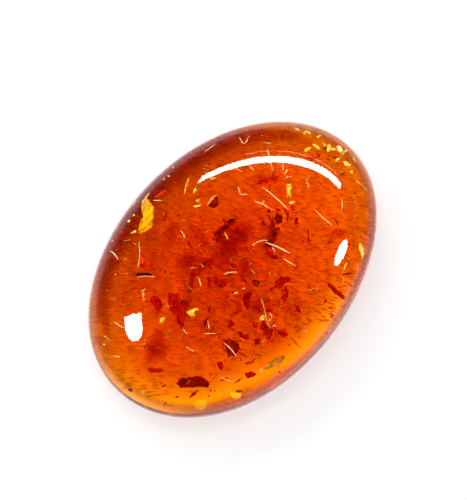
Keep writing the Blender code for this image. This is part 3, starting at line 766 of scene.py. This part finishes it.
def round_body(place, half_axes, turn, sides, rings):
    """A closed round body on a grid of turns and heights, stretched to its half axes and turned about Z."""
    around = np.linspace(0.0, 2.0 * math.pi, sides, endpoint=False)
    above = np.linspace(-math.pi / 2, math.pi / 2, rings + 2)[1:-1]
    x = np.cos(above)[:, None] * np.cos(around)
    y = np.cos(above)[:, None] * np.sin(around)
    z = np.broadcast_to(np.sin(above)[:, None], x.shape)
    points = np.vstack([np.stack([x, y, z], axis=2).reshape(-1, 3), [[0, 0, -1], [0, 0, 1]]]) * half_axes
    spin = np.array([[math.cos(turn), math.sin(turn), 0], [-math.sin(turn), math.cos(turn), 0], [0, 0, 1]])
    return place + points @ spin, ring_faces(rings, sides)[:, ::-1]


def ring_path(turns, share, height):
    """A path round the stone at one share of the outline and one height, between two turns."""
    x, y = on_outline(share, np.radians(np.linspace(*turns, 120)))
    return np.stack([x, y, np.full_like(x, height)], axis=1)


def crescent(path, half_widths, half_height, scale):
    """A dark band: oval rings along a path, as wide as the given half widths in pixels, closed to a point
    at both ends."""
    _, across = level_across(path)
    share = np.linspace(0.0, 1.0, len(path))
    width = np.interp(share, np.linspace(0.0, 1.0, len(half_widths)), half_widths) * MM_PER_PIXEL * scale
    height = np.sin(math.pi * share) ** 0.5 * half_height * scale
    return tube(path, across * width[:, None], height[:, None] * np.array([0.0, 0.0, 1.0]), sides=14)


def add_stains_and_painted_shade():
    """Blurred red stains, and painted shade as dark bands along the far side and the rim: each is a nest of
    closed bodies that add up towards its middle. Each layer is a piece of its own, because the layers of one
    piece wouldn't add up."""
    level = np.array([1.0, 1.0, 0.0])
    for layer, scale in enumerate(STAIN_LAYERS):
        parts = []
        for number, (middle, height, half_length, half_width, half_height, turn) in enumerate(STAINS):
            place = sight([middle], heights=[height])[0]
            half_axes = np.array([half_length * MM_PER_PIXEL, half_width * MM_PER_PIXEL, half_height]) * scale
            points, faces = round_body(place, half_axes, math.radians(turn + VIEW_TURN), sides=40, rings=22)
            points += waves(points * level, 5.0, 0.3 * half_axes[1], 50 + number) * level
            points += waves(points * level, 1.6, 0.12, 70 + 10 * layer + number) * level
            parts.append((points, faces))
        joined("red_stain_%d" % (layer + 1), parts, "red_stain")
        # Painted shade: bands of darker resin along the far side and round the rim
        for name, (slot, share, height, turns, half_height, half_widths) in BANDS.items():
            band = crescent(ring_path(turns, share, height), half_widths, half_height, scale)
            joined("%s_%d" % (name, layer + 1), [band], name)


def add_ripple():
    """Fine ripples of darker resin over the flat back: rows of thin lenses, each with six corners,
    staggered from row to row, with uneven places, lengths and turns. They end short of the rim and of the
    near side."""
    rng = np.random.default_rng(5)
    reach = LENGTH * 0.55
    rows = np.arange(-reach, reach, RIPPLE_PITCH)
    row, step = np.meshgrid(rows, np.arange(-reach, reach, RIPPLE_STEP), indexing="ij")
    stagger = (np.arange(len(rows)) % 2)[:, None] * RIPPLE_STEP / 2
    row = row.ravel()
    along = (step + stagger).ravel() + rng.uniform(-RIPPLE_STRAY_ALONG, RIPPLE_STRAY_ALONG, row.size)
    off = row + rng.uniform(-RIPPLE_STRAY_ACROSS, RIPPLE_STRAY_ACROSS, row.size)
    off = off + 0.2 * np.sin(along * 0.9) + 0.1 * np.sin(along * 2.3 + row * 1.7)
    x, y = RIGHT[:2, None] * along + AWAY[:2, None] * off
    share = outline_share(x, y)
    near_side = towards(FOCUS_TURN, 0.0)
    near = (near_side[0] * x + near_side[1] * y) / np.hypot(x, y).clip(1.0)
    inside = (share < RIPPLE_END) & (near * share < rng.uniform(*RIPPLE_NEAR_ENDS, x.shape))
    x, y = x[inside], y[inside]
    count = len(x)
    turn = rng.uniform(-0.16, 0.16, count)[:, None]
    length = rng.uniform(0.6, 1.2, count)[:, None] * RIPPLE_STEP * 0.5
    width = rng.uniform(0.6, 1.1, count)[:, None] * RIPPLE_PITCH * 0.35
    ahead = (np.cos(turn) * RIGHT + np.sin(turn) * AWAY) * length
    across = (np.cos(turn) * AWAY - np.sin(turn) * RIGHT) * width
    thick = np.array([0.0, 0.0, RIPPLE_THICK])
    middle = np.stack([x, y, RIPPLE_HEIGHT + rng.uniform(-RIPPLE_RISE, RIPPLE_RISE, count)], axis=1)
    points = np.stack([middle + ahead, middle + across, middle - ahead, middle - across, middle + thick,
                       middle - thick], axis=1).reshape(-1, 3)
    faces = (np.arange(count)[:, None, None] * 6 + SIX_CORNERS).reshape(-1, 3)
    joined("back_ripple", [(points, faces)], "ripple", smooth=False)


def add_inclusions():
    """The small things sealed in the stone beside the solids: chips, hairs, grains, bubbles, stains and
    ripple, and bands of painted shade in the resin."""
    red, brown = chips_of(RED_CHIPS, CHIP_THICK, 1), chips_of(BROWN_CHIPS, CHIP_THICK, 2)
    gold = chips_of(GOLD_CHIPS, GOLD_THICK, 3, GOLD_LEAN)
    near_gold = chips_of(NEAR_GOLD_CHIPS, GOLD_THICK, 4, GOLD_LEAN)
    joined("red_chips", red, "dark_red_scrap", smooth=False)
    joined("brown_chips", brown, "black_scrap", smooth=False)
    joined("gold_chips", gold, "gold_scrap", smooth=False)
    joined("near_gold_chips", near_gold, "gold_painted_glow", smooth=False)
    joined("pale_hairs", strands_of(HAIRS, 200), "pale_hair")
    joined("dark_hairs", strands_of(DARK_HAIRS, 300), "dark_red_scrap")
    places = sight([row[0] for row in BUBBLES], depths=np.full(len(BUBBLES), BUBBLE_DEPTH))
    bubbles = [round_body(place, np.full(3, width / 2), turn=0.0, sides=12, rings=7)
               for place, (_, width) in zip(places, BUBBLES)]
    joined("bubbles", bubbles, "sealed_air")
    add_crumbs()
    add_specks()
    add_stains_and_painted_shade()
    add_ripple()


def level_ramp(tree, levels):
    """A ramp through grey levels, each given with its place."""
    ramp = tree.nodes.new("ShaderNodeValToRGB")
    for stop, (_, level) in zip(ramp.color_ramp.elements, (levels[0], levels[-1])):
        stop.color = (level, level, level, 1.0)
    for spot, level in levels[1:-1]:
        ramp.color_ramp.elements.new(spot).color = (level, level, level, 1.0)
    return ramp


def painted_gathered_light(tree, place, ray):
    """A pool of light painted on the floor as a glow, for the light that the dome gathers under the stone's
    near
    side, seen only through the stone: a band of shares of the outline, strongest in one direction, and an
    even lift outside the outline."""
    per_length = (1.0 / (HALF_AXES[0] * MM), 1.0 / (HALF_AXES[1] * MM), 0.0)
    spread = add_node(tree, "VectorMath", "MULTIPLY", {1: per_length})
    share = add_node(tree, "VectorMath", "LENGTH")
    heading = add_node(tree, "VectorMath", "NORMALIZE")
    leftward = add_node(tree, "VectorMath", "DOT_PRODUCT", {1: tuple(-RIGHT)})
    drift = add_node(tree, "MapRange", values={"To Max": -FOCUS_DRIFT})
    drifted = add_node(tree, "Math", "ADD")
    span = add_node(tree, "MapRange", values={"From Min": FOCUS_SHARES[0], "From Max": FOCUS_SHARES[1]})
    band = level_ramp(tree, FOCUS_LEVELS)
    facing = add_node(tree, "VectorMath", "DOT_PRODUCT", {1: tuple(towards(FOCUS_TURN, 0.0))})
    side = add_node(tree, "MapRange", values={
        "From Min": FOCUS_SPREAD[0], "From Max": FOCUS_SPREAD[1], "To Max": FOCUS_GLOW})
    side.interpolation_type = "SMOOTHSTEP"
    lit = add_node(tree, "Math", "MULTIPLY")
    outside = add_node(tree, "MapRange", values={
        "From Min": LIFT_SHARES[0], "From Max": LIFT_SHARES[1], "To Max": LIFT_GLOW})
    both = add_node(tree, "Math", "ADD")
    seen = add_node(tree, "Math", "MULTIPLY")
    connect(tree, (place, "Object", spread, 0), (spread, "Vector", share, 0), (place, "Object", heading, 0),
            (heading, "Vector", leftward, 0), (leftward, "Value", drift, "Value"),
            (share, "Value", drifted, 0), (drift, "Result", drifted, 1), (drifted, "Value", span, "Value"),
            (span, "Result", band, "Fac"), (heading, "Vector", facing, 0), (facing, "Value", side, "Value"),
            (band, "Color", lit, 0), (side, "Result", lit, 1), (share, "Value", outside, "Value"),
            (lit, "Value", both, 0), (outside, "Result", both, 1), (both, "Value", seen, 0),
            (ray, "Is Transmission Ray", seen, 1))
    return seen


def add_floor():
    """A wide pale matte sheet just under the stone, a little overexposed where it is seen directly. Its
    reflection in the polish is painted: for mirrored rays the sheet is black and glows, bright close by and
    dim farther off, as if the sheet ended in a dim room. A pool of light is painted on it the same way, seen
    only through the stone."""
    material, tree, shader = new_material("pale_floor")
    place = add_node(tree, "TexCoord")
    ray = add_node(tree, "LightPath")
    reach = add_node(tree, "VectorMath", "LENGTH")
    share = add_node(tree, "MapRange", values={"From Min": MIRROR_NEAR * MM, "From Max": MIRROR_FAR * MM})
    fading = level_ramp(tree, MIRROR_LEVELS)
    # Painted reflection: mirrored rays see the sheet black, glowing by its distance from the middle
    mirrored = add_node(tree, "Math", "MULTIPLY")
    pale = add_node(tree, "MapRange", values={"To Min": FLOOR_SHADE, "To Max": FLOOR_SHADE * DIRECT_SHARE})
    shade = add_node(tree, "Mix")
    shade.data_type = "RGBA"
    set_inputs(shade, {"B": BLACK})
    burnt_out = add_node(tree, "Math", "MULTIPLY_ADD", {1: BURNT_OUT})
    # A pool of painted light under the near side, seen only through the stone
    focused = painted_gathered_light(tree, place, ray)
    glow = add_node(tree, "Math", "MULTIPLY_ADD")
    connect(tree, (place, "Object", reach, 0), (reach, "Value", share, "Value"),
            (share, "Result", fading, "Fac"), (ray, "Is Glossy Ray", mirrored, 0),
            (ray, "Is Reflection Ray", mirrored, 1), (ray, "Is Camera Ray", pale, "Value"),
            (pale, "Result", shade, "A"), (mirrored, "Value", shade, "Factor"),
            (shade, "Result", shader, "Base Color"),
            (ray, "Is Camera Ray", burnt_out, 0), (focused, "Value", burnt_out, 2),
            (mirrored, "Value", glow, 0), (fading, "Color", glow, 1), (burnt_out, "Value", glow, 2),
            (glow, "Value", shader, "Emission Strength"))
    set_inputs(shader, {"Emission Color": WHITE, "Roughness": 0.9})
    corners = [(x * FLOOR_REACH, y * FLOOR_REACH, FLOOR_HEIGHT)
               for x, y in ((-1, -1), (1, -1), (1, 1), (-1, 1))]
    add_mesh("floor", corners, [(0, 1, 2, 3)], material, smooth=False)


def add_panel(mirrored, name, turn, height, width, rise, glow, shape="RECTANGLE"):
    """A light panel at a direction. Its width and rise are angles, and its power is its area times pi times
    the glow that it should show. A mirrored panel shows only in the polish, and any other panel only
    lights."""
    direction = Vector(towards(turn, height))
    light = bpy.data.lights.new(name, "AREA")
    light.shape = shape
    light.size = 2 * PANEL_DISTANCE * math.tan(math.radians(width) / 2)
    light.size_y = 2 * PANEL_DISTANCE * math.tan(math.radians(rise) / 2)
    area = light.size * light.size_y * (math.pi / 4 if shape == "ELLIPSE" else 1.0)
    light.energy = glow * math.pi * area
    panel = bpy.data.objects.new(name, light)
    panel.location = direction * PANEL_DISTANCE
    panel.rotation_mode = "QUATERNION"
    panel.rotation_quaternion = direction.to_track_quat("Z", "Y")
    bpy.context.scene.collection.objects.link(panel)
    panel.visible_camera = False
    panel.visible_glossy = mirrored
    panel.visible_diffuse = not mirrored
    panel.visible_transmission = not mirrored
    if not mirrored:
        soften_seen_through(light)


def soften_seen_through(light):
    """Dims a panel where it shows through the stone itself, before its light has met anything matte."""
    light.use_nodes = True
    tree = light.node_tree
    ray = add_node(tree, "LightPath")
    met = add_node(tree, "Math", "MULTIPLY_ADD", {1: FLASH_SHARE})
    share = add_node(tree, "MapRange", values={"To Min": SEEN_THROUGH})
    connect(tree, (ray, "Glossy Depth", met, 0), (ray, "Diffuse Depth", met, 2),
            (met, "Value", share, "Value"), (share, "Result", tree.nodes["Emission"], "Strength"))


# Panels, each with its turn, height, width and rise in degrees, its glow, and its shape where it isn't a
# rectangle
MIRRORED_PANELS = (
    ("far_strip", 76.4, 39.5, 63.0, 5.3, 26.0),
    ("far_strip_edge", 72.0, 32.7, 44.0, 0.5, 6.0),
    ("left_window", 187.0, 50.3, 14.0, 14.6, 26.0, "ELLIPSE"),
    ("left_window_top", 182.5, 50.0, 7.5, 14.6, 26.0),
    ("right_window", 1.2, 31.7, 9.5, 12.0, 26.0, "ELLIPSE"),
)
LIGHT_PANELS = (
    ("far_light", 125.0, 36.0, 60.0, 16.0, 10.0),
    ("high_light", 100.0, 70.0, 40.0, 20.0, 6.0),
    ("near_light", -60.0, 50.0, 40.0, 30.0, 3.0),
    ("left_light", 184.0, 50.5, 16.0, 18.0, 9.0),
)


def add_light():
    """Soft light from the far side in a dim room; the polish mirrors a long strip there and two windows."""
    for row in MIRRORED_PANELS:
        add_panel(True, *row)
    for row in LIGHT_PANELS:
        add_panel(False, *row)
    world = bpy.data.worlds.new("dim_room")
    world.use_nodes = True
    set_inputs(world.node_tree.nodes["Background"], {"Color": WHITE, "Strength": ROOM_GLOW})
    world.cycles_visibility.glossy = False
    bpy.context.scene.world = world


def add_camera():
    """The camera at the photograph's viewing angle; a small shift puts the stone where the photograph has
    it."""
    camera = bpy.data.cameras.new("camera")
    camera.sensor_width = SENSOR
    camera.lens = SENSOR * FOCAL_PIXELS / PHOTO_HEIGHT
    camera.shift_x = (PHOTO_WIDTH / 2 - AIM_ACROSS) / PHOTO_HEIGHT
    camera.shift_y = (AIM_DOWN - PHOTO_HEIGHT / 2) / PHOTO_HEIGHT
    camera.clip_start = 0.01
    holder = bpy.data.objects.new("camera", camera)
    holder.location = Vector(EYE) * MM
    holder.rotation_mode = "QUATERNION"
    holder.rotation_quaternion = Vector(-BACK).to_track_quat("-Z", "Y")
    bpy.context.scene.collection.objects.link(holder)
    bpy.context.scene.camera = holder


def set_view():
    """Plain colours, and enough bounces for light to cross the stone."""
    scene = bpy.context.scene
    scene.view_settings.view_transform = "Standard"
    scene.cycles.use_denoising = True
    scene.cycles.max_bounces = 24
    scene.cycles.transmission_bounces = 24
    scene.cycles.glossy_bounces = 12
    scene.cycles.diffuse_bounces = 6


add_stone()
add_scraps()
add_inclusions()
add_floor()
add_light()
add_camera()
set_view()
